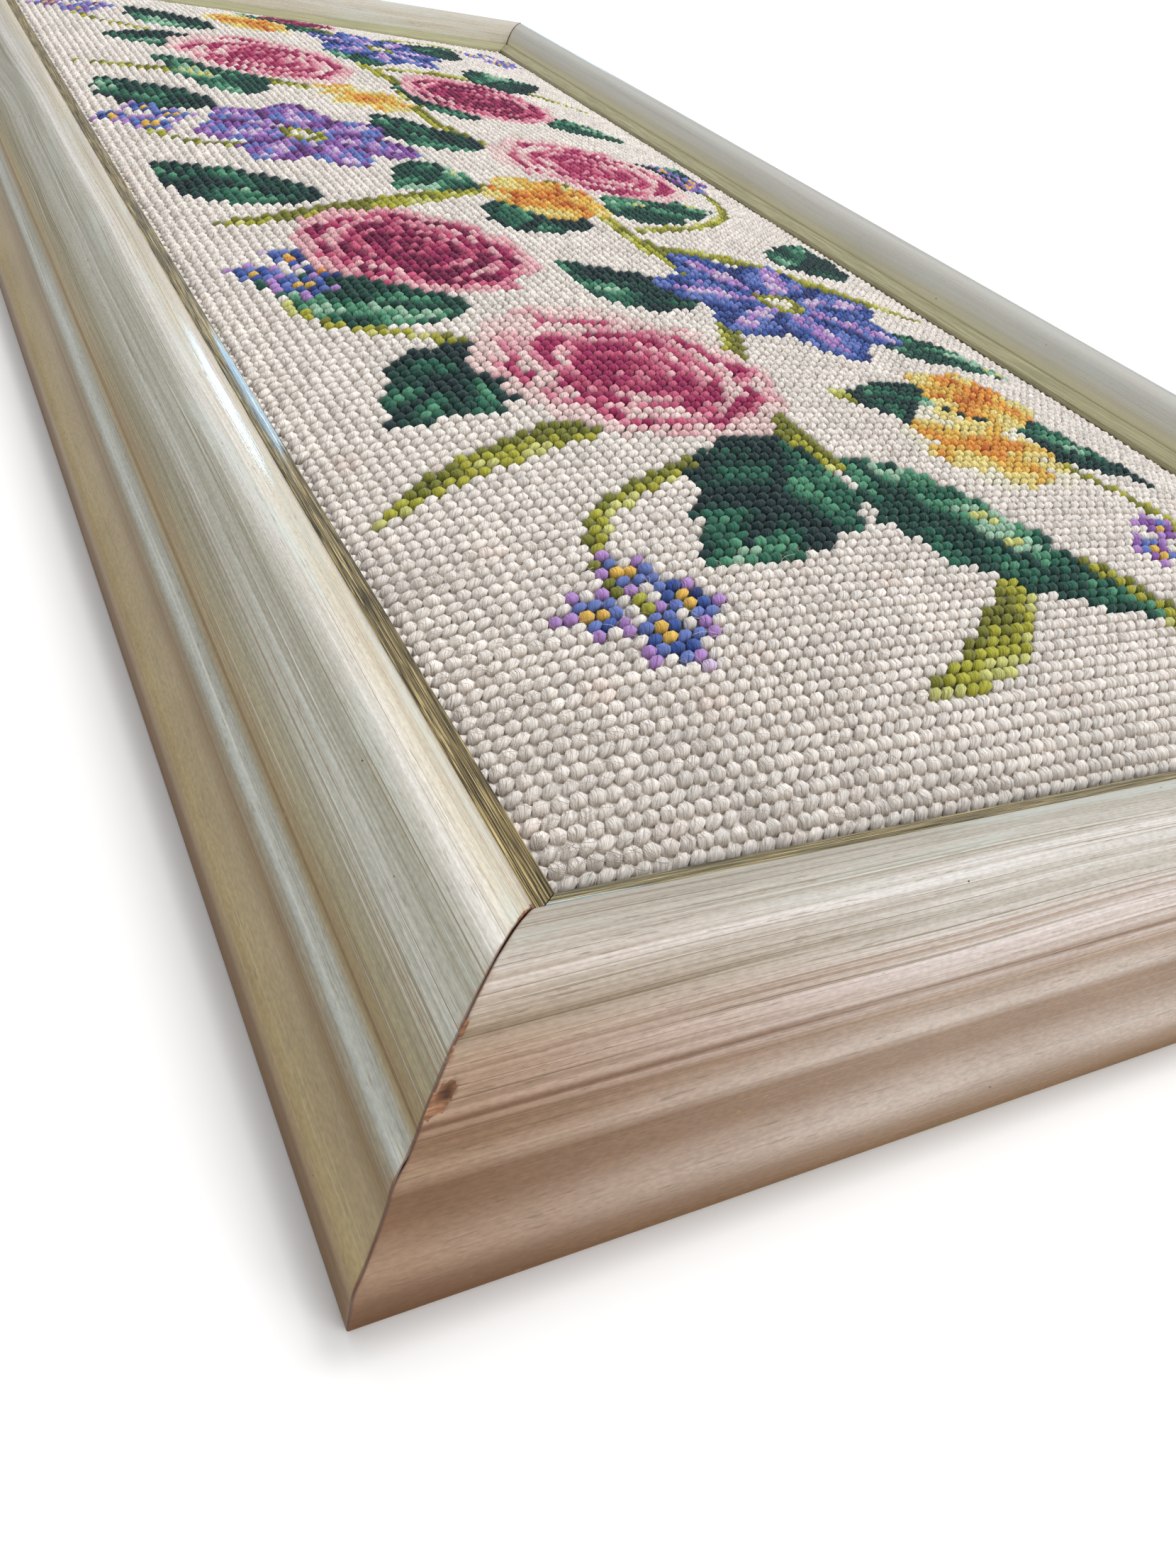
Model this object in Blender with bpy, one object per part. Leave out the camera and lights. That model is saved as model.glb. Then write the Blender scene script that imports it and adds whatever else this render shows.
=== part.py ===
# Needlepoint picture in a painted wooden frame, lying on its back.
# Origin at the centre of the back, +X to the right of the picture, +Y to its top, +Z out of its face.
import bpy
import bmesh
import math
from mathutils import Vector

MM = 0.001

# Driving sizes
FRAME_WIDTH = 275 * MM
FRAME_HEIGHT = 576 * MM
PIECE_GAP = 0.3 * MM            # clearance between neighbouring pieces

# Moulding section. Inset is measured inwards from the frame's outer edge, height from its back.
# Bulge is how far the stretch that ends at the row stands out of a straight line.
MOULDING_SECTION = (
    # member, inset, height, bulge, steps
    ("back outer edge", 0.6, 0.0, 0.0, 1),
    ("eased edge", 0.0, 0.9, 0.16, 2),
    ("foot", 0.0, 5.8, 0.0, 1),
    ("shoulder of the foot", 1.1, 7.9, 0.38, 4),
    ("long cove", 4.0, 13.6, -0.38, 5),
    ("bead", 6.1, 15.5, 0.8, 7),
    ("quirk", 7.5, 17.3, -0.2, 3),
    ("outer half of the dome", 18.1, 25.4, 1.6, 10),
    ("inner half of the dome", 28.5, 17.7, 2.1, 10),
    ("sight edge", 28.5, 15.9, 0.0, 1),
    ("rebate ceiling", 22.2, 15.9, 0.0, 1),
    ("rebate side", 22.2, 0.0, 0.0, 1),
)

# Gilt slip: a flange inside the rebate and a sloping face beside the stitches.
SLIP_SECTION = (
    # member, inset, height, bulge, steps
    ("flange bottom", 22.5, 14.4, 0.0, 1),
    ("flange back", 22.5, 15.6, 0.0, 1),
    ("flange top", 29.1, 15.6, 0.0, 1),
    ("outer edge", 29.1, 17.2, 0.0, 1),
    ("rounded shoulder", 29.6, 17.4, 0.12, 3),
    ("sloping face", 32.8, 15.9, 0.07, 3),
    ("nose", 33.2, 15.3, 0.15, 3),
    ("lip bottom", 33.2, 14.4, 0.0, 1),
)

SIGHT_INSET = 33.2 * MM             # from the frame's outer edge to the edge of the picture
REBATE_INSET = 22.2 * MM

# Stitched canvas. It rises from under the slip to a soft pillow.
CANVAS_THICKNESS = 2.2 * MM
CANVAS_TOP = 14.1 * MM              # under the slip
CANVAS_CROWN = 6.2 * MM             # rise of the middle over the edges
CROWN_REACH_UP = 80 * MM            # how far in from the top and bottom edges it rises
CANVAS_RIPPLE = 0.3 * MM            # unevenness of the stretched canvas
CANVAS_CELLS_ACROSS = 18
CANVAS_CELLS_UP = 46
EDGE_CLOSENESS = 0.6                # 0 spaces the cells evenly, 1 draws them to the edges

# Backing board
BOARD_THICKNESS = 3.0 * MM
BOARD_EDGE_ROUND = 0.3 * MM

MATERIALS = {
    # name: colour, roughness, metallic
    "painted_wood": ((0.66, 0.64, 0.54, 1), 0.45, 0.0),
    "gilt": ((0.36, 0.29, 0.16, 1), 0.40, 0.6),
    "wool_on_canvas": ((0.72, 0.66, 0.61, 1), 0.95, 0.0),
    "hardboard": ((0.22, 0.13, 0.07, 1), 0.85, 0.0),
}


def clear_scene():
    for old in list(bpy.data.objects):
        bpy.data.objects.remove(old, do_unlink=True)


def make_material(name):
    colour, roughness, metallic = MATERIALS[name]
    material = bpy.data.materials.new(name)
    material.use_nodes = True
    shader = material.node_tree.nodes["Principled BSDF"]
    shader.inputs["Base Color"].default_value = colour
    shader.inputs["Roughness"].default_value = roughness
    shader.inputs["Metallic"].default_value = metallic
    material.diffuse_color = colour
    return material


def arc_points(start, end, bulge, steps):
    # Points after start up to end, on an arc whose middle stands bulge to the left of the chord.
    chord = end - start
    if bulge == 0:
        return [end]
    half = chord.length / 2
    radius = (half * half + bulge * bulge) / (2 * bulge)
    normal = Vector((-chord.y, chord.x)).normalized()
    centre = (start + end) / 2 + normal * (bulge - radius)
    first = math.atan2(start.y - centre.y, start.x - centre.x)
    sweep = -2 * math.asin(half / radius)
    points = []
    for step in range(1, steps + 1):
        angle = first + sweep * step / steps
        points.append(centre + abs(radius) * Vector((math.cos(angle), math.sin(angle))))
    return points


def section_points(section):
    # Runs round the section, from the outer back edge up and over to the picture side.
    first = Vector((section[0][1], section[0][2])) * MM
    points = [first]
    for member, inset, height, bulge, steps in section[1:]:
        points += arc_points(points[-1], Vector((inset, height)) * MM, bulge * MM, steps)
    return points


def new_object(name, bm, material, smooth_angle=None):
    bmesh.ops.recalc_face_normals(bm, faces=bm.faces)
    mesh = bpy.data.meshes.new(name)
    bm.to_mesh(mesh)
    bm.free()
    mesh.materials.append(material)
    if smooth_angle is not None:
        mesh.shade_smooth()
        mesh.set_sharp_from_angle(angle=math.radians(smooth_angle))
    piece = bpy.data.objects.new(name, mesh)
    bpy.context.collection.objects.link(piece)
    return piece


def mitred_strip(name, section, length, material):
    # Carries the section along X. Both ends are cut at 45 degrees, half a gap short of the mitre.
    end_cut = PIECE_GAP / 2 * math.sqrt(2)
    bm = bmesh.new()
    left, right = [], []
    for point in section_points(section):
        reach = length / 2 - point.x - end_cut
        left.append(bm.verts.new((-reach, point.x, point.y)))
        right.append(bm.verts.new((reach, point.x, point.y)))
    count = len(left)
    for i in range(count):
        j = (i + 1) % count
        bm.faces.new((left[i], left[j], right[j], right[i]))
    bm.faces.new(left)
    bm.faces.new(right)
    return new_object(name, bm, material, smooth_angle=35)


def frame_sides():
    # side, length, where its outer back edge has its middle, turn about Z
    return (
        ("bottom", FRAME_WIDTH, (0, -FRAME_HEIGHT / 2), 0),
        ("right", FRAME_HEIGHT, (FRAME_WIDTH / 2, 0), 90),
        ("top", FRAME_WIDTH, (0, FRAME_HEIGHT / 2), 180),
        ("left", FRAME_HEIGHT, (-FRAME_WIDTH / 2, 0), -90),
    )


def make_strips(prefix, section, material, carrier):
    for side, length, middle, turn in frame_sides():
        strip = mitred_strip(f"{prefix}_{side}", section, length, material)
        strip.location = (middle[0], middle[1], 0)
        strip.rotation_euler.z = math.radians(turn)
        strip.parent = carrier


def rise_from_edge(distance, reach):
    # 0 at the edge, 1 from reach inwards, with the cube of the distance left to go.
    return 1 - (1 - min(max(distance, 0), reach) / reach) ** 3


def canvas_rise(x, y, half_sight):
    # Height of the stretched canvas over its edge: a pillow with two slow ripples that die out at the edge.
    across = rise_from_edge(half_sight.x - abs(x), half_sight.x)
    up = rise_from_edge(half_sight.y - abs(y), CROWN_REACH_UP)
    ripple = math.sin(3.1 * x / half_sight.x + 2.3 * y / half_sight.y) * math.cos(7.9 * y / half_sight.y)
    return across * up * (CANVAS_CROWN + CANVAS_RIPPLE * ripple)


def grid_stations(half_sight, half_outer, cells):
    # Positions from one edge of the sheet to the other, closer together where the pillow curves most.
    inner = []
    for i in range(cells + 1):
        even = 2 * i / cells - 1
        close = math.sin(even * math.pi / 2)
        inner.append(half_sight * (even + EDGE_CLOSENESS * (close - even)))
    return [-half_outer] + inner + [half_outer]


def make_needlework(material, carrier):
    half_sight = Vector((FRAME_WIDTH / 2 - SIGHT_INSET, FRAME_HEIGHT / 2 - SIGHT_INSET))
    margin = REBATE_INSET + PIECE_GAP
    half_outer = Vector((FRAME_WIDTH / 2 - margin, FRAME_HEIGHT / 2 - margin))
    xs = grid_stations(half_sight.x, half_outer.x, CANVAS_CELLS_ACROSS)
    ys = grid_stations(half_sight.y, half_outer.y, CANVAS_CELLS_UP)
    bm = bmesh.new()
    layers = []
    for base in (CANVAS_TOP, CANVAS_TOP - CANVAS_THICKNESS):
        layer = []
        for y in ys:
            row = [bm.verts.new((x, y, base + canvas_rise(x, y, half_sight))) for x in xs]
            layer.append(row)
        layers.append(layer)
    columns, rows = len(xs), len(ys)
    for layer in layers:
        for j in range(rows - 1):
            for i in range(columns - 1):
                bm.faces.new((layer[j][i], layer[j][i + 1], layer[j + 1][i + 1], layer[j + 1][i]))
    top, bottom = layers
    for j in range(rows - 1):
        for i in (0, columns - 1):
            bm.faces.new((top[j][i], top[j + 1][i], bottom[j + 1][i], bottom[j][i]))
    for i in range(columns - 1):
        for j in (0, rows - 1):
            bm.faces.new((top[j][i], top[j][i + 1], bottom[j][i + 1], bottom[j][i]))
    needlework = new_object("needlework", bm, material, smooth_angle=35)
    needlework.parent = carrier


def make_board(material, carrier):
    margin = REBATE_INSET + PIECE_GAP
    top = CANVAS_TOP - CANVAS_THICKNESS - PIECE_GAP
    bm = bmesh.new()
    bmesh.ops.create_cube(bm, size=1)
    size = Vector((FRAME_WIDTH - 2 * margin, FRAME_HEIGHT - 2 * margin, BOARD_THICKNESS))
    bmesh.ops.scale(bm, vec=size, verts=bm.verts)
    bmesh.ops.bevel(bm, geom=bm.edges[:], offset=BOARD_EDGE_ROUND, segments=1, affect="EDGES")
    board = new_object("backing_board", bm, material)
    board.location.z = top - BOARD_THICKNESS / 2
    board.parent = carrier


def build():
    clear_scene()
    materials = {name: make_material(name) for name in MATERIALS}
    carrier = bpy.data.objects.new("frame_centre", None)
    bpy.context.collection.objects.link(carrier)
    make_strips("moulding", MOULDING_SECTION, materials["painted_wood"], carrier)
    make_strips("slip", SLIP_SECTION, materials["gilt"], carrier)
    make_needlework(materials["wool_on_canvas"], carrier)
    make_board(materials["hardboard"], carrier)


build()
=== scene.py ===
from functools import partial
import math
import bpy
import numpy as np
from mathutils import Matrix, Vector


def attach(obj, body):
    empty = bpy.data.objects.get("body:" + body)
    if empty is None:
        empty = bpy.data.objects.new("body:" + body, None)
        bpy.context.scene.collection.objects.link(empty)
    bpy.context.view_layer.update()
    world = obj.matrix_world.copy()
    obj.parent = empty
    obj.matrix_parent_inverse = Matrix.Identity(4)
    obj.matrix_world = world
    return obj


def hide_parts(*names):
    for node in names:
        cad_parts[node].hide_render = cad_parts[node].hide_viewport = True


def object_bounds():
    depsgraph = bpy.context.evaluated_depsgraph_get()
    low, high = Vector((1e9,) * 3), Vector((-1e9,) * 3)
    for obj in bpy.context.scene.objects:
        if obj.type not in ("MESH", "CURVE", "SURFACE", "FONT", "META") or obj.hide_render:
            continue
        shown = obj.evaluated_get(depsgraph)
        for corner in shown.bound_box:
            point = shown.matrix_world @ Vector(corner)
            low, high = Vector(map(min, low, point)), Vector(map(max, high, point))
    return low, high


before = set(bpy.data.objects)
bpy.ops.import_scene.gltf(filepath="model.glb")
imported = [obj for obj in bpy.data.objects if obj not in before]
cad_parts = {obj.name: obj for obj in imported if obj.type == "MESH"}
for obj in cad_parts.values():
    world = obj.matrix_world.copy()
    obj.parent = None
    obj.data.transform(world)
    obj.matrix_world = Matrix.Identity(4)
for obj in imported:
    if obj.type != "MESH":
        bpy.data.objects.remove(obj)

metre = 1000
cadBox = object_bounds()
frameWidth = (cadBox[1][0] - cadBox[0][0]) * metre
frameHeight = (cadBox[1][1] - cadBox[0][1]) * metre
pieceGap = 0.3          # clearance between neighbouring pieces
mitreGap = 0.11         # the same at a mitre
sightInset = 33.2       # from the frame's outer edge to the edge of the picture
rebateInset = 22.2      # from the outer edge to the side of the rebate
easedReach = 0.07       # width of the eased edge at a mitre
halfSightX = frameWidth / 2 - sightInset
halfSightY = frameHeight / 2 - sightInset


# Helpers

def hexColour(text):
    # sRGB hex to linear light
    parts = np.array([int(text[i:i + 2], 16) for i in (1, 3, 5)]) / 255
    linear = np.where(parts <= 0.04045, parts / 12.92, ((parts + 0.055) / 1.055) ** 2.4)
    return (*linear.tolist(), 1.0)


def setInputs(tree, node, inputs):
    # Sets or links a node's inputs, given as a dictionary or as a list in the order of the sockets; a text
    # is a hex colour
    named = inputs if isinstance(inputs, dict) else dict(enumerate(inputs))
    for name, value in named.items():
        if isinstance(value, bpy.types.NodeSocket):
            tree.links.new(value, node.inputs[name])
        else:
            node.inputs[name].default_value = hexColour(value) if isinstance(value, str) else value


def addNode(tree, kind, inputs=(), stops=(), output=None, **settings):
    # One node: stops are the places and colours of a ramp and settings its own options.
    # Returns the output of that name, or else the first one in use
    node = tree.nodes.new("ShaderNode" + kind)
    for name, value in settings.items():
        setattr(node, name, value)
    setInputs(tree, node, inputs)
    for number, (place, colour) in enumerate(stops):
        elements = node.color_ramp.elements
        element = elements[number] if number < 2 else elements.new(place)
        element.position = place
        element.color = hexColour(colour) if isinstance(colour, str) else (colour, colour, colour, 1)
    return node.outputs[output] if output else next(socket for socket in node.outputs if socket.enabled)


def newMaterial(name):
    # Returns a call that adds a node to the material, and one that sets its shader and gives the material
    material = bpy.data.materials.new(name)
    material.use_nodes = True
    tree = material.node_tree

    def finish(inputs):
        setInputs(tree, tree.nodes["Principled BSDF"], inputs)
        return material

    return partial(addNode, tree), finish


def layer(add, under, over, *factors, blend="MIX"):
    # Lays one colour over another, its share the product of the factors
    share, *others = factors
    for factor in others:
        share = add("Math", [share, factor], operation="MULTIPLY")
    return add("Mix", {0: share, 6: under, 7: over}, data_type="RGBA", blend_type=blend)


def surfaceSize(add):
    # A piece's own UV, in mm
    uv = add("UVMap", uv_map="surface")
    return add("VectorMath", [uv, (metre, metre, metre)], operation="MULTIPLY")


def streaks(add, size, reach, detail, limits, shift):
    # Noise drawn out along a side: reach is mm along and across, limits the noise that becomes 0 and 1
    scale = (1 / reach[0], 1 / reach[1], 0)
    place = add("VectorMath", [size, scale, (shift, shift * 2, shift)], operation="MULTIPLY_ADD")
    noise = add("TexNoise", {"Vector": place, "Scale": 1, "Detail": detail, "Roughness": 0.55})
    return add("MapRange", [noise, *limits])


def addPiece(name, points, faces, material, slot, replaces=(), cornerUv=None, fields=()):
    # points is (n, 3) in mm; faces is a list of corner arrays, one for each number of sides
    mesh = bpy.data.meshes.new(name)
    corners = np.concatenate([part.ravel() for part in faces])
    sides = np.concatenate([np.full(len(part), part.shape[1]) for part in faces])
    starts = np.concatenate([[0], np.cumsum(sides)[:-1]])
    mesh.vertices.add(len(points))
    mesh.vertices.foreach_set("co", (np.asarray(points) / metre).astype(np.float32).ravel())
    mesh.loops.add(len(corners))
    mesh.loops.foreach_set("vertex_index", corners.astype(np.int32))
    mesh.polygons.add(len(sides))
    mesh.polygons.foreach_set("loop_start", starts.astype(np.int32))
    mesh.update(calc_edges=True)
    mesh.validate()
    mesh.polygons.foreach_set("use_smooth", np.full(len(sides), True))
    if cornerUv is not None:
        uvMap = mesh.uv_layers.new(name="surface")
        uvMap.data.foreach_set("uv", np.asarray(cornerUv, np.float32).ravel())
    for fieldName, values in dict(fields).items():
        colour = np.ndim(values) == 2
        field = mesh.attributes.new(fieldName, "FLOAT_COLOR" if colour else "FLOAT", "POINT")
        field.data.foreach_set("color" if colour else "value", np.asarray(values, np.float32).ravel())
    mesh.materials.append(material)
    piece = bpy.data.objects.new(name, mesh)
    bpy.context.collection.objects.link(piece)
    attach(piece, "root")
    if replaces:
        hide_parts(*replaces)
    print(f"  {name}: {int((sides - 2).sum())} triangles")
    return piece


def gridFaces(rows, columns, closed=False):
    # Quads of a grid of points in row order; closed joins the last column to the first. Gives each corner's
    # row and column too, where the first column counts as one past the last in the quads that join them
    i, j = np.meshgrid(np.arange(rows - 1), np.arange(columns if closed else columns - 1), indexing="ij")
    row = np.stack([i, i + 1, i + 1, i], -1).reshape(-1, 4)
    column = np.stack([j, j, j + 1, j + 1], -1).reshape(-1, 4)
    return row * columns + column % columns, row, column


def repeatFaces(parts, count, points):
    # The faces of count copies of a shape that has so many points
    shift = np.arange(count)[:, None, None] * points
    return [(part + shift).reshape(-1, part.shape[1]) for part in parts]


def waves(x, y, size, seed):
    # Sum of six seeded sine waves of about the given length, about -1 to 1
    random = np.random.default_rng(seed)
    total = np.zeros(np.broadcast(x, y).shape)
    for turn, phase, stretch in random.uniform(0, 1, (6, 3)):
        k = 2 * math.pi / (size * (0.7 + 0.8 * stretch))
        heading = 2 * math.pi * turn
        total += np.sin(k * (x * math.cos(heading) + y * math.sin(heading)) + 2 * math.pi * phase)
    return total / 3.2


# Camera at the photograph's angle, low over the near left corner
cameraView = {
    "place": (-161.6, -337.5, 109.1),
    "heading": 35.03,       # degrees to the right of +Y
    "down": 37.64,          # degrees below the horizon
    "roll": 14.41,          # degrees, right side up
    "lens": 28.204,
}


def addCamera():
    data = bpy.data.cameras.new("camera")
    data.lens = cameraView["lens"]
    data.sensor_width = 36
    data.clip_start = 0.01
    camera = bpy.data.objects.new("camera", data)
    bpy.context.collection.objects.link(camera)
    turn = Matrix.Rotation(math.radians(-cameraView["heading"]), 4, "Z")
    tilt = Matrix.Rotation(math.radians(90 - cameraView["down"]), 4, "X")
    roll = Matrix.Rotation(math.radians(cameraView["roll"]), 4, "Z")
    place = Matrix.Translation(Vector(cameraView["place"]) / metre)
    camera.matrix_world = place @ turn @ tilt @ roll
    bpy.context.scene.camera = camera


# Painted moulding
moulding = {
    # member, inset from the outer edge, height, bulge of the arc that ends there, steps
    "section": (
        ("back outer edge", 0.6, 0.0, 0.0, 1),
        ("eased edge", 0.0, 0.9, 0.16, 3),
        ("foot", 0.0, 5.8, 0.0, 4),
        ("shoulder of the foot", 1.1, 7.9, 0.38, 6),
        ("long cove", 4.0, 13.6, -0.38, 10),
        ("bead", 6.1, 15.5, 0.8, 12),
        ("quirk", 7.5, 17.3, -0.2, 6),
        ("outer half of the dome", 18.1, 25.4, 1.6, 26),
        ("inner half of the dome", 28.5, 17.7, 2.1, 26),
        ("sight edge", 28.5, 15.9, 0.0, 3),
        ("rebate ceiling", 22.2, 15.9, 0.0, 2),
        ("rebate side", 22.2, 0.0, 0.0, 2),
    ),
    "paintedUpTo": "sight edge",
    "fineEnd": 5.0,         # fine stations over this much of each mitred end
    "fineStep": 0.2,
    "coarseStep": 9.0,
    "handWave": (0.025, 90, 6),     # of the gesso under the paint: depth, length, times shorter round it
    "easedEnd": (0.10, easedReach),     # depth and reach of the easing at a mitre
    "nibbledEnd": (0.08, 0.35),     # the same of its nibbled edge
    # the cut ends take the painted shade of a chip this deep
    "cutEndDepth": 0.6,     # the cut ends are as dark as a chip this deep
    # side: how pink its paint is, how far a grey wash evens it out, how far its dome is burnished, seed
    "rails": {
        "bottom": (1.0, 0.0, 0.0, 1),
        "right": (0.12, 0.68, 0.85, 2),
        "top": (0.4, 0.15, 0.1, 3),
        "left": (0.0, 0.0, 1.0, 4),
    },
}

# Lost chips at the mitres: rail, end (-1 or 1 along the rail), inset, distance from the mitre,
# reach along and across, depth
chips = (
    ("bottom", -1, 8.5, 0.6, 1.5, 0.6, 0.4),
    ("bottom", -1, 8.9, 1.3, 0.95, 0.7, 1.0),
    ("bottom", -1, 12.6, 0.1, 0.5, 0.6, 0.4),
    ("bottom", -1, 11.2, 0.0, 0.3, 0.5, 0.2),
    ("left", 1, 26.8, 0.0, 0.6, 1.3, 0.07),
    ("left", 1, 23.7, 0.0, 0.35, 1.4, 0.05),
    ("right", -1, 14.0, 0.1, 0.8, 0.9, 0.35),
    ("top", 1, 20.0, 0.1, 0.6, 0.9, 0.3),
    ("right", 1, 6.0, 0.2, 0.9, 0.8, 0.35),
)


def arcPoints(start, end, bulge, steps):
    # Circle through start and end whose middle stands bulge left of the chord; the angle it spans is
    # four times the arctangent of bulge over half the chord, and bulge 0 is a straight line
    start, end = np.array(start), np.array(end)
    chord = end - start
    way = np.linspace(0, 1, steps + 1)[1:, None]
    if bulge == 0:
        return start + chord * way
    span = 4 * math.atan2(bulge, np.hypot(*chord) / 2)
    across = 2 * math.sin(span / 2)
    left = np.array([-chord[1], chord[0]])
    along = 0.5 + np.sin(span * (way - 0.5)) / across
    aside = (np.cos(span * (way - 0.5)) - math.cos(span / 2)) / across
    return start + chord * along + left * aside


def sectionLine(rows):
    # Joins a section's members. Gives its points as inset and height, their distance round it and outward
    # normal, and the number of the point where each member ends
    parts = [np.array([rows[0][1:3]])]
    members = {rows[0][0]: 0}
    for member, inset, height, bulge, steps in rows[1:]:
        parts.append(arcPoints(parts[-1][-1], (inset, height), bulge, steps))
        members[member] = sum(map(len, parts)) - 1
    line = np.concatenate(parts)
    step = np.roll(line, -1, 0) - line
    lengths = np.hypot(*step.T)
    distance = np.concatenate([[0], np.cumsum(lengths)])
    middle = step + np.roll(step, 1, 0)
    normal = np.stack([-middle[:, 1], middle[:, 0]], -1)
    normal /= np.hypot(*normal.T)[:, None]
    return {"line": line, "distance": distance, "normal": normal, "members": members}


def endStations(settings):
    # Distances from a mitre: even fine steps, then steps that grow by a third to the coarse one
    fine = np.arange(0, settings["fineEnd"], settings["fineStep"])
    grow = settings["fineStep"] * 1.33 ** np.arange(1, 60)
    grow = grow[grow < settings["coarseStep"]]
    return np.concatenate([[0, easedReach], fine[1:], fine[-1] + np.cumsum(grow)])


def placeOnSide(side, along, inset, height):
    # Turns a strip that runs along X, its outer edge at inset 0, to its side of the frame
    x, y = {
        "bottom": (along, inset - frameHeight / 2),
        "right": (frameWidth / 2 - inset, along),
        "top": (-along, frameHeight / 2 - inset),
        "left": (inset - frameWidth / 2, -along),
    }[side]
    return np.stack(np.broadcast_arrays(x, y, height), -1)


def stripGrid(side, line, settings):
    # How far along its side each point of the strip lies, a row for each section. Each line is cut off at 45
    # degrees by the mitres: distances from the first mitre, then even steps, then the same to the second
    length = frameWidth if side in ("bottom", "top") else frameHeight
    reach = length / 2 - line[:, 0] - mitreGap / 2 * math.sqrt(2)
    ends = endStations(settings)
    inner = reach - ends[-1]
    count = int(2 * inner.min() / settings["coarseStep"])
    middle = np.linspace(-1, 1, count + 2)[1:-1, None] * inner
    return np.concatenate([ends[:, None] - reach, middle, (reach - ends[:, None])[::-1]])


def chipDepth(side, along, inset):
    # Bowls with ragged rims, deepest away from the mitre: 1 less the chip's own distance, an oval's with the
    # power 2.6. Returns the depth and a field that is 1 at a rim
    depth = np.zeros(along.shape)
    rim = np.zeros(along.shape)
    for rail, end, chipInset, gap, reachAlong, reachAcross, deepest in chips:
        if rail != side:
            continue
        fromMitre = along[-1] - end * along
        a = (fromMitre - gap) / reachAlong
        b = (inset - chipInset) / reachAcross
        ragged = 1 + 0.16 * waves(along, inset, 0.9, 50 + int(chipInset * 10))
        size = (np.abs(a) ** 2.6 + np.abs(b) ** 2.6) ** (1 / 2.6) * ragged
        bowl = np.clip(1.25 * (1 - size), 0, 1) ** 0.55
        depth = np.maximum(depth, deepest * bowl * (0.6 + 0.4 * np.clip(a, 0, 1)))
        rim = np.maximum(rim, np.clip(2 - size, 0, 2))
    return depth, rim


def handWave(settings, along, around, seed):
    # Unevenness of a few hundredths, inwards only
    depth, length, shorter = settings["handWave"]
    return depth * (waves(along, around * shorter, length, seed) - 1)


def addStrip(name, replaced, side, section, along, move, seed, fields, material, slot):
    # The section's points moved along their normals, with a face on each cut end. The UV is metres along and
    # round the section, each strip a metre on from the last. A field is its values on the strip and one for
    # the ends
    x, z = (section["line"][:, axis] + move * section["normal"][:, axis] for axis in (0, 1))
    points = placeOnSide(side, along, x, z).reshape(-1, 3)
    rows, columns = along.shape
    quads, row, column = gridFaces(rows, columns, closed=True)
    endPoints = np.concatenate([points[:columns], points[-1:-columns - 1:-1]])
    endFaces = len(points) + np.arange(2 * columns).reshape(2, columns)
    stripUv = np.stack([along[row, column % columns], section["distance"][column]], -1).reshape(-1, 2)
    cornerUv = np.concatenate([stripUv, endPoints[:, [2, 0]]]) / metre + (seed, 0)
    everyField = {
        field: np.concatenate([np.broadcast_to(values, along.shape).ravel(), np.full(2 * columns, atEnds)])
        for field, (values, atEnds) in fields.items()
    }
    points = np.concatenate([points, endPoints])
    addPiece(name, points, [quads, endFaces], material, slot, (replaced,), cornerUv, everyField)


def makeRail(side, material):
    # Each point is the section's, moved along its normal by the hand wave and cut back by the chips
    section = sectionLine(moulding["section"])
    line, around = section["line"], section["distance"][:-1]
    along = stripGrid(side, line, moulding)
    pink, wash, burnish, seed = moulding["rails"][side]
    number = np.arange(len(line))
    painted = (number > 0) & (number <= section["members"][moulding["paintedUpTo"]])
    depth, rim = chipDepth(side, along, line[:, 0])
    fromMitre = along[-1] - np.abs(along)
    wave = handWave(moulding, along, around, seed)
    eased, nibbled = (
        most * np.clip(1 - fromMitre / far, 0, 1)
        for most, far in (moulding["easedEnd"], moulding["nibbledEnd"])
    )
    nibbled = nibbled * np.clip(waves(around, fromMitre * 2, 3.5, seed + 9), 0, 1)
    move = np.where(painted, wave - depth - eased - nibbled, 0)
    # The cut ends count as chips, and so take a deep chip's painted shade in the joint
    fields = {
        "fromMitre": (fromMitre, 0), "chipRim": (rim, 2), "chipDepth": (depth, moulding["cutEndDepth"]),
        "painted": (painted, 1), "pink": (pink, pink), "wash": (wash, wash), "burnish": (burnish, burnish),
    }
    names = f"rail_{side}", f"moulding_{side}"
    addStrip(*names, side, section, along, move, seed, fields, material, "painted_wood")


# The paints of the two schemes, sage on three sides and rosy on the bottom one
paints = {
    "umber": "#7e5a28", "mud": "#8b6f40", "ochre": "#987c50", "tan": "#b3a07c", "straw": "#beab80",
    "drab": "#a09278", "khaki": "#b0a98e", "greySage": "#a9a898", "sage": "#b2b7b2", "paleSage": "#c6c6bc",
    "cream": "#e0d8c6", "chalk": "#e6e4e0",
    "russet": "#96765f", "brownPink": "#a28b78", "roseTan": "#b6a08e", "dustyPink": "#ccbfb6",
    "petal": "#dccfca", "blush": "#efe6e7", "stone": "#cecac2", "white": "#efeded",
}
paintReach = 52     # mm round the section, from the back outer edge to beyond the sight edge
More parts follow.
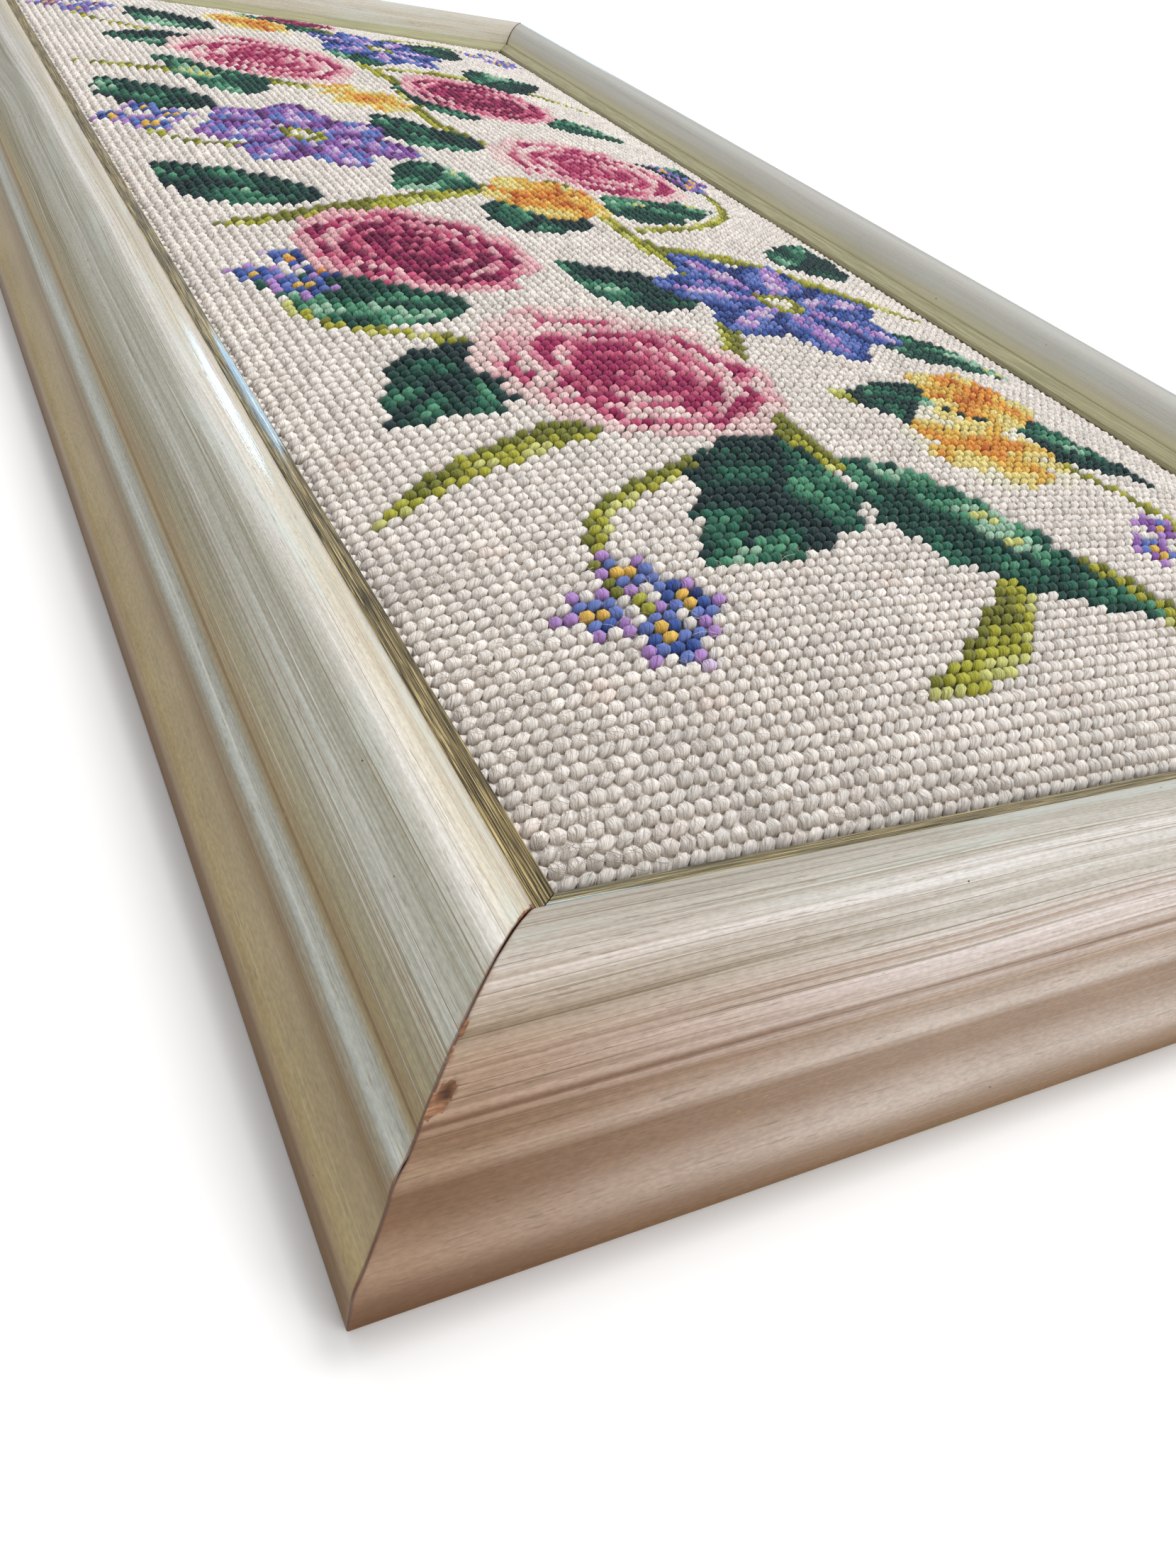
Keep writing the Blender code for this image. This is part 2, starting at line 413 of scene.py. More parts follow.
# Where each is laid: mm round the section, paint of the sage and of the rosy scheme, how sharply it was
# dragged
paintScheme = (
    (0.0, "umber", "umber", 0.15),
    (5.2, "umber", "brownPink", 0.2),
    (8.5, "straw", "dustyPink", 0.2),
    (12.4, "tan", "brownPink", 0.2),
    (15.0, "mud", "brownPink", 0.25),
    (16.4, "drab", "dustyPink", 0.4),
    (17.5, "sage", "dustyPink", 0.5),
    (19.2, "paleSage", "roseTan", 0.6),
    (20.3, "straw", "petal", 0.8),
    (20.75, "ochre", "russet", 0.85),
    (21.3, "straw", "petal", 0.9),
    (24.2, "khaki", "blush", 0.95),
    (28.0, "paleSage", "stone", 1.0),
    (32.2, "greySage", "white", 1.0),
    (35.4, "chalk", "stone", 0.8),
    (38.6, "cream", "stone", 0.8),
    (50.4, "cream", "stone", 0.6),
)


def makePaint():
    # Distemper paint dragged along a pine moulding over a brown glaze, and rubbed back: long fine streaks
    # of grey-green, cream and tan, darker glaze left in the hollows, a satin sheen
    add, finish = newMaterial("dragged_paint_on_pine")
    flatSize = surfaceSize(add)
    wander = streaks(add, flatSize, (90, 25), 1, (0.0, 1.0), 37.7)
    drift = add("CombineXYZ", {1: add("MapRange", [wander, 0, 1, -1.6, 1.6])})
    size = add("VectorMath", [flatSize, drift], operation="ADD")
    place = add("MapRange", [add("SeparateXYZ", [flatSize], output="Y"), 0, paintReach])
    pink, wash, burnish, painted, fromMitre, chipRim, chipDeep = (
        add("Attribute", attribute_name=name, output="Fac")
        for name in ("pink", "wash", "burnish", "painted", "fromMitre", "chipRim", "chipDepth")
    )

    broad = streaks(add, size, (210, 3.4), 2, (0.34, 0.66), 3.1)
    medium = streaks(add, size, (150, 0.9), 2, (0.34, 0.66), 7.7)
    fine = streaks(add, size, (100, 0.26), 2, (0.36, 0.64), 11.3)
    darkLine = streaks(add, size, (120, 0.24), 2, (0.61, 0.65), 19.9)
    paleLine = streaks(add, size, (110, 0.3), 2, (0.60, 0.67), 23.9)
    glazeLine = streaks(add, size, (170, 0.34), 3, (0.58, 0.63), 97.1)
    cloud = streaks(add, size, (22, 5), 4, (0.32, 0.68), 29.3)
    smear = streaks(add, size, (34, 3.2), 4, (0.50, 0.66), 71.3)
    fleck = streaks(add, flatSize, (0.9, 0.3), 3, (0.32, 0.68), 53.3)
    dash = streaks(add, flatSize, (4.5, 0.26), 3, (0.63, 0.68), 61.7)
    crumb = streaks(add, flatSize, (1.6, 0.5), 3, (0.68, 0.71), 83.9)

    # Tones round the section, mixed from the sage sides' to the rosy one's, darker where the glaze shows
    # through: the cover is three widths of streak where the paint was dragged and a cloud where it wasn't
    sage, rosy, drag = (
        add("ValToRGB", [place], [(row[0] / paintReach, paints.get(row[k], row[k])) for row in paintScheme])
        for k in (1, 2, 3)
    )
    covered = layer(add, sage, rosy, pink)
    glazing = add("Math", [drag, 0.4, 0.6], operation="MULTIPLY_ADD")
    bared = layer(add, covered, "#c0b8aa", glazing, blend="MULTIPLY")
    dragged = 0
    for streak, weight in ((medium, 0.32), (fine, 0.46), (broad, 0.22)):
        dragged = add("Math", [streak, weight, dragged], operation="MULTIPLY_ADD")
    soft = add("Math", [cloud, 0.5, 0.25], operation="MULTIPLY_ADD")
    cover = add("Mix", {0: drag, 2: soft, 3: dragged})
    paint = layer(add, bared, covered, cover)

    # Sparse nicks with dirt in them, and a few pale flakes: cells of which each has one mark or none
    marks = []
    for scale, reach, most, shift in (
        # cells to a mm, size gained by chance, size lost by all, shift
        ((0.05, 0.075, 1), 0.06, 0.035, 0),
        ((0.011, 0.02, 1), 0.03, 0.034, 41),
    ):
        cells = add("VectorMath", [flatSize, scale, (shift, shift, 0)], operation="MULTIPLY_ADD")
        distance = add("TexVoronoi", {"Vector": cells, "Scale": 1}, voronoi_dimensions="2D")
        chance = add("SeparateColor", [distance.node.outputs["Color"]])
        edge = add("TexNoise", {"Vector": flatSize, "Scale": 1.6, "Detail": 2})
        spotSize = add("Math", [chance, reach, -most], operation="MULTIPLY_ADD")
        spotSize = add("Math", [spotSize, edge], operation="MULTIPLY")
        marks.append(add("Math", [distance, spotSize], operation="LESS_THAN"))
    pit, flake = marks

    # The distemper is chalky, so it is flecked all over. On it lie pale and dark drag lines, cool smears on
    # the upper dome, short dashes and tan crumbs where the brush skipped, glaze lines on the outer dome, the
    # grey wash with its painted shade and painted light, nicks and flakes
    flecked = add("MapRange", [fleck, 0, 1, 0.87, 1.08])
    paint = add("VectorMath", {0: paint, "Scale": flecked}, operation="SCALE")
    upper = add("MapRange", [place, 0.56, 0.70, 0, 0.5])
    outer = add("ValToRGB", [place], ((0.35, 0), (0.39, 1), (0.50, 1), (0.60, 0)))
    # The grey wash is darker over the crest, a painted shade that tones down the highlight there, and lighter
    # and yellower low on the inner side, where the lightening is painted light in the shade by the slip
    washWithPaintedShading = add("ValToRGB", [place], (
        (0.48, "#aeaea9"), (0.62, "#929390"), (0.72, "#b3b3ae"), (0.80, "#a6a6a1"), (0.86, "#bebdb2"),
        (0.895, "#c8c4a6"), (0.93, "#e6e1b6"),
    ))
    for colour, *factors in (
        ("#e4e2da", paleLine, drag, 0.42),
        ("#76694f", darkLine, drag, 0.75),
        ("#c3ccc5", smear, upper),
        ("#7c705f", dash, 0.5),
        ("#b39a72", crumb, 0.5),
        ("#8f7150", glazeLine, outer, 0.6),
        (washWithPaintedShading, wash),
        ("#5d4c36", pit),
        ("#f1eee8", flake),
    ):
        paint = layer(add, paint, colour, *factors)

    # Bare wood shows in the chips, along the mitre edges and on the cut ends
    ragged = add("TexNoise", {"Vector": flatSize, "Scale": 0.6, "Detail": 4, "Roughness": 0.6})
    wornTo = add("MapRange", [ragged, 0.52, 0.75, 0, 0.22])
    worn = add("Math", [fromMitre, wornTo], operation="LESS_THAN")
    rimAt = add("Math", [ragged, 0.2, 0.9], operation="MULTIPLY_ADD")
    lost = add("Math", [chipRim, rimAt], operation="GREATER_THAN")
    bare = add("Math", [worn, lost], operation="MAXIMUM")
    alongGrain = add("VectorMath", [flatSize, (0.25, 2.2, 1)], operation="MULTIPLY")
    grain = add("TexNoise", {"Vector": alongGrain, "Scale": 1, "Detail": 4})
    wood = add("ValToRGB", [grain], ((0.3, "#5c3f2e"), (0.52, "#8f674c"), (0.7, "#b88e6d")))
    backWood = add("ValToRGB", [grain], ((0.3, "#a27a4e"), (0.5, "#c49c6c"), (0.7, "#d3b184")))
    # The deepest parts of the chips are darkened, a painted shade in the hollow
    chipShade = add("MapRange", [chipDeep, 0.28, 0.8, 0, 0.9])
    wood = layer(add, wood, "#20120b", chipShade)

    # Near the mitres the paint is rubbed in patches, and rosy paint gets a painted shade low on the dome
    wearAndSheen = add("MapRange", [fromMitre, 0.1, 0.9, 0.5, 0])
    patchy = add("MapRange", [ragged, 0.46, 0.6])
    paint = layer(add, paint, "#a07452", wearAndSheen, patchy)
    # Painted shade: darker low on the rosy dome near the mitres, fading out by 60 mm from them
    cornerShade = add("MapRange", [fromMitre, 5, 60, 0.9, 0.1])
    lower = add("MapRange", [place, 0.5, 0.68, 1, 0.3])
    paint = layer(add, paint, "#c4a98c", cornerShade, lower, pink, blend="MULTIPLY")
    paint = layer(add, paint, wood, bare)
    # Dirt in the joints, but not where a chip has come away
    dirt = add("MapRange", [fromMitre, 0.1, 0.32, 0.85, 0])
    clean = add("Math", [1, lost], operation="SUBTRACT")
    paint = layer(add, paint, "#5f473c", dirt, clean)
    surface = layer(add, backWood, paint, painted)

    # The dome is rubbed smoother than the members below it
    polish = add("MapRange", [place, 0.5, 0.72, 0.42, 0.07])
    polish = add("Mix", {0: burnish, 2: 0.62, 3: polish})
    sheen = add("Math", [medium, 0.08, polish], operation="MULTIPLY_ADD")
    sheen = add("Mix", {0: bare, 2: sheen, 3: 0.8})
    sheen = add("Mix", {0: painted, 2: 0.8, 3: sheen})
    relief = add("Math", [fleck, 0.6, fine], operation="MULTIPLY_ADD")
    relief = add("Math", [pit, -2, relief], operation="MULTIPLY_ADD")
    bump = add("Bump", {"Strength": 0.2, "Distance": 0.00006, "Height": relief})
    return finish({"Base Color": surface, "Roughness": sheen, "Specular IOR Level": 0.32, "Normal": bump})


# Gilt slip between the moulding and the stitches
giltSlip = {
    "section": (
        ("flange bottom", 22.5, 14.4, 0.0, 1),
        ("flange back", 22.5, 15.6, 0.0, 1),
        ("flange top", 28.8, 15.6, 0.0, 2),
        ("outer edge", 28.8, 17.2, 0.0, 2),
        ("rounded shoulder", 29.3, 17.45, 0.12, 5),
        ("sloping face", 32.8, 15.9, 0.07, 8),
        ("nose", 33.2, 15.3, 0.15, 5),
        ("lip bottom", 33.2, 14.4, 0.0, 2),
    ),
    "fineEnd": 1.0,
    "fineStep": 0.25,
    "coarseStep": 10.0,
    "handWave": (0.03, 40, 9),
    # side: share of pale painted reflection laid over its leaf, seed
    "sides": {"bottom": (0.25, 11), "right": (0.85, 12), "top": (1.0, 13), "left": (0.1, 14)},
}


def makeSlip(side, material):
    # The slip's section, cut at 45 degrees, with a hand wave where it shows
    section = sectionLine(giltSlip["section"])
    along = stripGrid(side, section["line"], giltSlip)
    wearAndSheen, seed = giltSlip["sides"][side]
    number, members = np.arange(len(section["line"])), section["members"]
    shown = (number > members["flange top"]) & (number < members["lip bottom"])
    move = np.where(shown, handWave(giltSlip, along, section["distance"][:-1], seed), 0)
    names = f"gilt_slip_{side}", f"slip_{side}"
    addStrip(*names, side, section, along, move, seed, {"wearAndSheen": (wearAndSheen, wearAndSheen)}, material, "gilt")


def makeGilt():
    # Bronze leaf under a brown toning, brushed along the slip: olive gold with dark lengthwise scratches
    add, finish = newMaterial("toned_bronze_leaf")
    size = surfaceSize(add)
    tone = streaks(add, size, (18, 0.2), 3, (0.38, 0.62), 2.3)
    scratch = streaks(add, size, (10, 0.16), 2, (0.51, 0.545), 5.9)
    spot = streaks(add, size, (2.2, 0.7), 3, (0.62, 0.72), 8.1)
    toned = add("ValToRGB", [tone], ((0, "#332914"), (0.4, "#6e5a32"), (0.75, "#a28a50"), (1, "#d6be84")))
    # On the right and top slips the leaf is painted pale, a painted reflection of the bright room, and its
    # dark scratches fade there
    paintedReflection = add("ValToRGB", [tone], ((0.0, "#a09c76"), (0.5, "#aeab86"), (1.0, "#bcb894")))
    wearAndSheen = add("Attribute", attribute_name="wearAndSheen", output="Fac")
    leaf = layer(add, toned, paintedReflection, wearAndSheen)
    leaf = layer(add, leaf, "#bdb48a", spot, 0.45)
    kept = add("Math", [1, wearAndSheen], operation="SUBTRACT")
    leaf = layer(add, leaf, "#1f180b", scratch, kept)
    rough = add("MapRange", [scratch, 0, 1, 0.44, 0.65])
    height = add("Math", [scratch, -1, tone], operation="MULTIPLY_ADD")
    bump = add("Bump", {"Strength": 0.4, "Distance": 0.00008, "Height": height})
    return finish({
        "Base Color": leaf, "Roughness": rough, "Metallic": 0.25, "Coat Weight": 0.22,
        "Coat Roughness": 0.08, "Normal": bump,
    })


# Stretched canvas, a soft pillow that rises from under the slip
canvas = {
    "top": 14.1,            # tops of the stitches at the edge of the picture
    "roll": 0.9,            # quick rise from under the slip
    "rollReach": 2.2,
    "crown": 5.3,           # further rise of the middle
    "crownReachUp": 80.0,   # how far in from the top and bottom edges it rises
    "ripple": 0.3,
    "rippleTurns": (3.1, 2.3, 7.9),     # radians from the middle to an edge: across and up, then up again
    "underStitches": 1.45,  # canvas surface below the stitches' tops
    "thickness": 0.5,
    "cells": (76, 176),
    "pitch": 2.54,          # ten threads to the inch
}


def riseFromEdge(distance, reach):
    # 0 at the edge and 1 from reach inwards: one minus the cube of the share of the way left to go
    return 1 - (1 - np.clip(distance, 0, reach) / reach) ** 3


def canvasTop(x, y):
    # Height of the stitches' tops: the edge height, a quick roll up from under the slip, and a pillow with a
    # slow ripple, a sine times a cosine, that dies out at the edge
    inside = np.minimum(halfSightX - np.abs(x), halfSightY - np.abs(y))
    roll = canvas["roll"] * riseFromEdge(inside, canvas["rollReach"])
    across = riseFromEdge(halfSightX - np.abs(x), halfSightX)
    up = riseFromEdge(halfSightY - np.abs(y), canvas["crownReachUp"])
    a, b, c = canvas["rippleTurns"]
    ripple = np.sin(a * x / halfSightX + b * y / halfSightY) * np.cos(c * y / halfSightY)
    return canvas["top"] + roll + across * up * (canvas["crown"] + canvas["ripple"] * ripple)


def makeCanvas(chart, material):
    # A closed slab of two grids, the top one the pillow less the stitches' height, and a wall round its edge.
    # The field of printed painted shade is 1 under the coloured stitches
    halfX = frameWidth / 2 - rebateInset - pieceGap
    halfY = frameHeight / 2 - rebateInset - pieceGap
    across, up = canvas["cells"]
    # Lines from -1 to 1, closer together towards the edges: the mean of an even step and of its sine
    lines = [np.linspace(-1, 1, count + 1) for count in (up, across)]
    ys, xs = [half * (line + np.sin(line * math.pi / 2)) / 2 for half, line in zip((halfY, halfX), lines)]
    y, x = np.meshgrid(ys, xs, indexing="ij")
    upper = np.stack([x, y, canvasTop(x, y) - canvas["underStitches"]], -1).reshape(-1, 3)
    rows, columns = x.shape
    quads = gridFaces(rows, columns)[0][:, ::-1]
    number = np.arange(rows * columns).reshape(rows, columns)
    edge = np.concatenate([number[0, :-1], number[:-1, -1], number[-1, :0:-1], number[:0:-1, 0]])
    after = np.roll(edge, -1)
    below = rows * columns
    wall = np.stack([edge, edge + below, after + below, after], -1)
    faces = np.concatenate([quads, quads[:, ::-1] + below, wall])
    points = np.concatenate([upper, upper - (0, 0, canvas["thickness"])])
    cornerUv = points[faces.ravel()][:, :2] / metre
    fields = {"printedShade": np.tile(~isGround(chart, x, y).ravel(), 2)}
    piece = addPiece("canvas", points, [faces], material, "wool_on_canvas", ("needlework",), cornerUv, fields)
    return piece, (2 * halfX / metre, 2 * halfY / metre)


def makeCanvasCloth():
    # Bleached cotton mono canvas, ten threads to the inch and stiff with size: a plain open weave, off-white,
    # and printed a dull dark green under the picture, a painted shade that darkens the gaps between the
    # coloured stitches. The threads are the larger of two sines, one along and one across
    add, finish = newMaterial("sized_cotton_canvas")
    size = surfaceSize(add)
    turns = 2 * math.pi / canvas["pitch"]
    thread = add("VectorMath", [size, (turns, turns, 0)], operation="MULTIPLY")
    parts = add("SeparateXYZ", [thread]).node.outputs
    warp, weft = (add("Math", [parts[axis]], operation="SINE") for axis in "XY")
    weave = add("Math", [warp, weft], operation="MAXIMUM")
    noise = add("TexNoise", {"Vector": size, "Scale": 2.5, "Detail": 3})
    cloth = add("ValToRGB", [noise], ((0.3, "#d3cac0"), (0.7, "#eee8e1")))
    printedShade = add("Attribute", attribute_name="printedShade", output="Fac")
    cloth = layer(add, cloth, "#3b4540", printedShade)
    height = add("Math", [noise, 0.6, weave], operation="MULTIPLY_ADD")
    bump = add("Bump", {"Strength": 0.8, "Distance": 0.0003, "Height": height})
    return finish({"Base Color": cloth, "Roughness": 0.9, "Normal": bump})


# Wools of each piece of the model
wools = {
    "ground": {"ground": "#f5eee6"},
    "greens": {
        "inkGreen": "#173436", "deepGreen": "#1a483f", "leafGreen": "#2c6b56", "jade": "#569978",
        "mint": "#a3ccb0",
    },
    "stems": {"olive": "#7f8230", "chartreuse": "#b1b03c", "limeCream": "#d6d783"},
    "blues": {
        "navy": "#2a3c7a", "blue": "#3f5ba6", "periwinkle": "#6d82c9",
        "plum": "#643a78", "mauve": "#9160b0", "lilac": "#b98fd3", "paleLilac": "#dcc7e6",
    },
    "pinks": {
        "burgundy": "#7a1546", "magenta": "#a82c60", "rose": "#cf5c80", "pink": "#e58fa5",
        "shellPink": "#f1bdc2", "blush": "#f7dcd8",
    },
    "yellows": {
        "rust": "#c8692a", "apricot": "#e99b43", "gold": "#eec05a", "paleYellow": "#f2e191",
        "ivory": "#f5f0dc",
    },
}
woolNames = [name for colours in wools.values() for name in colours]
# Families of wools that a shape is worked in, dark to light
families = {
    "ground": ["ground"],
    "leaf": ["inkGreen", "deepGreen", "leafGreen", "jade", "mint"],
    "brightLeaf": ["deepGreen", "leafGreen", "jade", "mint", "limeCream"],
    "stem": ["olive", "chartreuse", "limeCream"],
    "pinkRose": ["magenta", "rose", "pink", "shellPink", "blush"],
    "redRose": ["burgundy", "magenta", "rose", "pink", "shellPink"],
    "blueStar": ["navy", "blue", "periwinkle", "lilac", "paleLilac"],
    "violetStar": ["plum", "mauve", "periwinkle", "lilac", "paleLilac"],
    "primrose": ["apricot", "gold", "paleYellow", "ivory"],
    "orange": ["rust", "apricot", "gold", "paleYellow"],
}
familyNames = list(families)


# The picture, a climbing garland in thread counts: each shape is a test on the stitches' places

def newChart():
    # One cell for each stitch, columns and rows counted from the middle
    columns = np.arange(-41, 42)
    rows = np.arange(-99.5, 100)
    x, y = np.meshgrid(columns * canvas["pitch"], rows * canvas["pitch"])
    return {"x": x, "y": y, "family": np.zeros(x.shape, int), "value": np.zeros(x.shape)}


def lay(chart, mask, family, value):
    # Gives the mask a family of wools, from its darkest at value 0 to its lightest at 1
    chart["family"] = np.where(mask, familyNames.index(family), chart["family"])
    chart["value"] = np.where(mask, value, chart["value"])


def shade(chart, mask, amount):
    # Darkens what lies there already, as under a petal's edge
    chart["value"] = np.where(mask, chart["value"] - amount, chart["value"])


def chooseWools(chart):
    # The wool of each cell, from its family and value, the steps between wools a little broken up
    grain = np.random.default_rng(5).uniform(-0.05, 0.05, chart["x"].shape)
    wool = np.zeros(chart["x"].shape, int)
    for number, names in enumerate(families.values()):
        indexes = np.array([woolNames.index(name) for name in names])
        pick = np.clip(((chart["value"] + grain) * len(indexes)).astype(int), 0, len(indexes) - 1)
        wool = np.where(chart["family"] == number, indexes[pick], wool)
    return wool


def mottle(chart, size, seed):
    # Slow waves over the chart, by which a shape's edge or shade varies
    return waves(chart["x"], chart["y"], size, seed)


def isGround(chart, x, y):
    # Whether the stitch nearest to each place is of the plain ground
    column = np.abs(chart["x"][0] - x[..., None]).argmin(-1)
    row = np.abs(chart["y"][:, 0] - y[..., None]).argmin(-1)
    return chart["wool"][row, column] == woolNames.index("ground")


def turned(chart, centre, angle):
    # The cells' places from a centre, along an angle and across it
    x, y = chart["x"] - centre[0], chart["y"] - centre[1]
    return x * math.cos(angle) + y * math.sin(angle), -x * math.sin(angle) + y * math.cos(angle)


def layLeaf(chart, base, tip, width, bend, seed, family):
    # Half width is a root of the sine of the way along; one half is lit in patches, the other shaded, with
    # veins between
    length = math.dist(base, tip)
    along, across = turned(chart, base, math.atan2(tip[1] - base[1], tip[0] - base[0]))
    way = np.clip(along / length, 0.001, 0.999)
    ragged = 1 + 0.10 * mottle(chart, 9, seed)
    half = width / 2 * np.sin(math.pi * way ** 0.72) ** 0.85 * ragged
    share = (across - 4 * bend * way * (1 - way)) / np.maximum(half, 0.1)
    mask = (along > 0) & (along < length) & (np.abs(share) < 1)
    veins = np.cos(2 * math.pi * (along / 17 - np.abs(share) * 0.9))
    patch = mottle(chart, 24, seed + 1)
    value = np.where(share > 0, 0.56, 0.24) + 0.13 * veins + 0.30 * patch
    value = value - 0.30 * np.clip((np.abs(share) - 0.6) / 0.4, 0, 1)
    value = np.where((np.abs(share * half) < 1.3) & (way < 0.8), 0.05, value)
    lay(chart, mask, family, value)


def layStem(chart, points, widths, seed, pointed=False):
    # A cubic curve through its hull, lit on its left; a pointed one is a long leaf, whose half width is a
    # root of the sine of the way along
    way = np.linspace(0, 1, 60)[:, None]
    a, b, c, d = (np.array(point, float) for point in points)
    path = (1 - way) ** 3 * a + 3 * (1 - way) ** 2 * way * b + 3 * (1 - way) * way ** 2 * c + way ** 3 * d
    gaps = np.hypot(chart["x"][..., None] - path[:, 0], chart["y"][..., None] - path[:, 1])
    nearest = gaps.argmin(-1)
    gap = gaps.min(-1)
    share = nearest / (len(path) - 1)
    half = (widths[0] + (widths[1] - widths[0]) * share) / 2
    if pointed:
        half = half * np.sin(math.pi * np.clip(share, 0.02, 0.98)) ** 0.6 + 0.1
    heading = np.gradient(path, axis=0)[nearest]
    off = np.stack([chart["x"], chart["y"]], -1) - path[nearest]
    side = np.sign(heading[..., 0] * off[..., 1] - heading[..., 1] * off[..., 0])
    value = 0.45 + 0.3 * side * np.clip(gap / half, 0, 1) + 0.28 * mottle(chart, 14, seed)
    lay(chart, gap < half, "stem", value)


def layPetal(chart, centre, reach, halfWidth, angle, family, seed, foot=0.15, rim=0.95, point=1.0):
    # An egg along its angle, from the foot's shade to the rim's, with a soft shadow round it
    along, across = turned(chart, centre, angle)
    along, across = along / reach, across / halfWidth
    way = np.clip(along, 0, 1)
    profile = np.sin(math.pi * way ** (0.9 + 0.5 * point)) ** (0.55 + 0.35 * point)
    limit = profile * (1 + 0.10 * mottle(chart, 10, seed))
    shade(chart, (along > 0.0) & (along < 1.05) & (np.abs(across) < limit + 0.24), 0.34)
    value = foot + (rim - foot) * way ** 0.9 + 0.08 * np.cos(across * 9)
    value = value + 0.18 * mottle(chart, 13, seed + 3)
    value = value - 0.20 * np.clip((np.abs(across) / np.maximum(limit, 0.05) - 0.6) / 0.4, 0, 1)
    lay(chart, (along > 0) & (along < 1) & (np.abs(across) < limit), family, value)


def layRose(chart, centre, radius, turn, seed, family):
    # Rings of cupped petals, each an ellipse laid over the last and shading it, lit from the upper left,
    # round a dark spiral heart
    rings = (
        # petals, then as shares of the radius their distance, half width and half depth, lightness
        (5, 0.50, 0.62, 0.48, 0.98),
        (5, 0.33, 0.50, 0.37, 0.86),
        (4, 0.20, 0.38, 0.28, 0.70),
        (3, 0.09, 0.24, 0.19, 0.52),
    )
    lit = np.clip(turned(chart, centre, math.radians(125))[0] / radius, -1, 1)
    for ring, (count, distance, wide, deep, light) in enumerate(rings):
        for k in range(count):
            angle = turn + ring * 0.7 + 2 * math.pi * k / count
            away = radius * distance
            middle = (centre[0] + away * math.cos(angle), centre[1] + away * math.sin(angle))
            out, side = turned(chart, middle, angle)
            out, side = out / (radius * deep), side / (radius * wide)
            size = np.hypot(out, side) / (1 + 0.10 * mottle(chart, 14, seed + 10 * ring + k))
            shade(chart, size < 1 + 3.4 / radius / deep, 0.30)
            value = light - 0.34 * (1 - out) * 0.5 - 0.10 * np.abs(side) + 0.17 * lit
            value = value + 0.16 * mottle(chart, 13, seed + 7 + k)
            value = value + 0.14 * ((size > 0.74) & (out > 0.2))
            lay(chart, size < 1, family, value)
    along, across = turned(chart, centre, turn)
    size = np.hypot(along, across) / (radius * 0.17)
    spiral = np.sin(np.arctan2(across, along) + 5 * size)
    lay(chart, size < 1, family, np.where(spiral > 0.2, 0.42, 0.05))


def layStar(chart, centre, radius, turn, seed, family):
    # Pointed petals with a pale stripe, and a small green eye
    petals = 7
    for k in range(petals):
        angle = turn + 2 * math.pi * (k * 2 % petals) / petals
        reach = radius * (1 + 0.06 * math.sin(5 * k + seed))
        layPetal(chart, centre, reach, radius * 0.3, angle, family, seed + k, foot=0.52, rim=0.36, point=0.9)
        along, across = turned(chart, centre, angle)
        half = 0.085 * np.sin(math.pi * np.clip(along / radius, 0, 1)) + 0.012
        stripe = (along > 0.15 * radius) & (along < 0.86 * radius) & (np.abs(across) < half * radius)
        lay(chart, stripe, family, 0.74 + 0.25 * mottle(chart, 9, seed + 30 + k))
    distance = np.hypot(*turned(chart, centre, 0))
    lay(chart, distance < radius * 0.20, "stem", 0.3 + 0.5 * mottle(chart, 6, seed))
    lay(chart, distance < radius * 0.10, "primrose", np.full(distance.shape, 0.8))


def layPrimrose(chart, centre, radius, turn, seed, family):
    # Five round petals, pale at the rim, and an orange eye
    for k in range(5):
        angle = turn + 2 * math.pi * (k * 2 % 5) / 5
        layPetal(chart, centre, radius, radius * 0.52, angle, family, seed + k, foot=0.20, rim=0.98, point=0)
    distance = np.hypot(*turned(chart, centre, 0)) / radius
    lay(chart, distance < 0.26, "orange", 0.15 + 1.35 * distance)


def laySpray(chart, centre, radius, turn, family):
    # Small five-lobed flowers, each rim a cosine of five lobes
    for k, (dx, dy, size) in enumerate(((0, 0, 1.1), (8, 9, 0.95), (-9, 8, 0.9), (1, 17, 0.8))):
        along, across = turned(chart, (centre[0] + dx, centre[1] + dy), turn + k)
        distance = np.hypot(along, across) / (radius * size)
        lobes = np.cos(5 * np.arctan2(across, along))
        lay(chart, distance < 0.78 + 0.22 * lobes, family, 0.15 + 0.55 * distance + 0.12 * lobes)
        lay(chart, distance < 0.30, "primrose", np.full(distance.shape, 0.45))


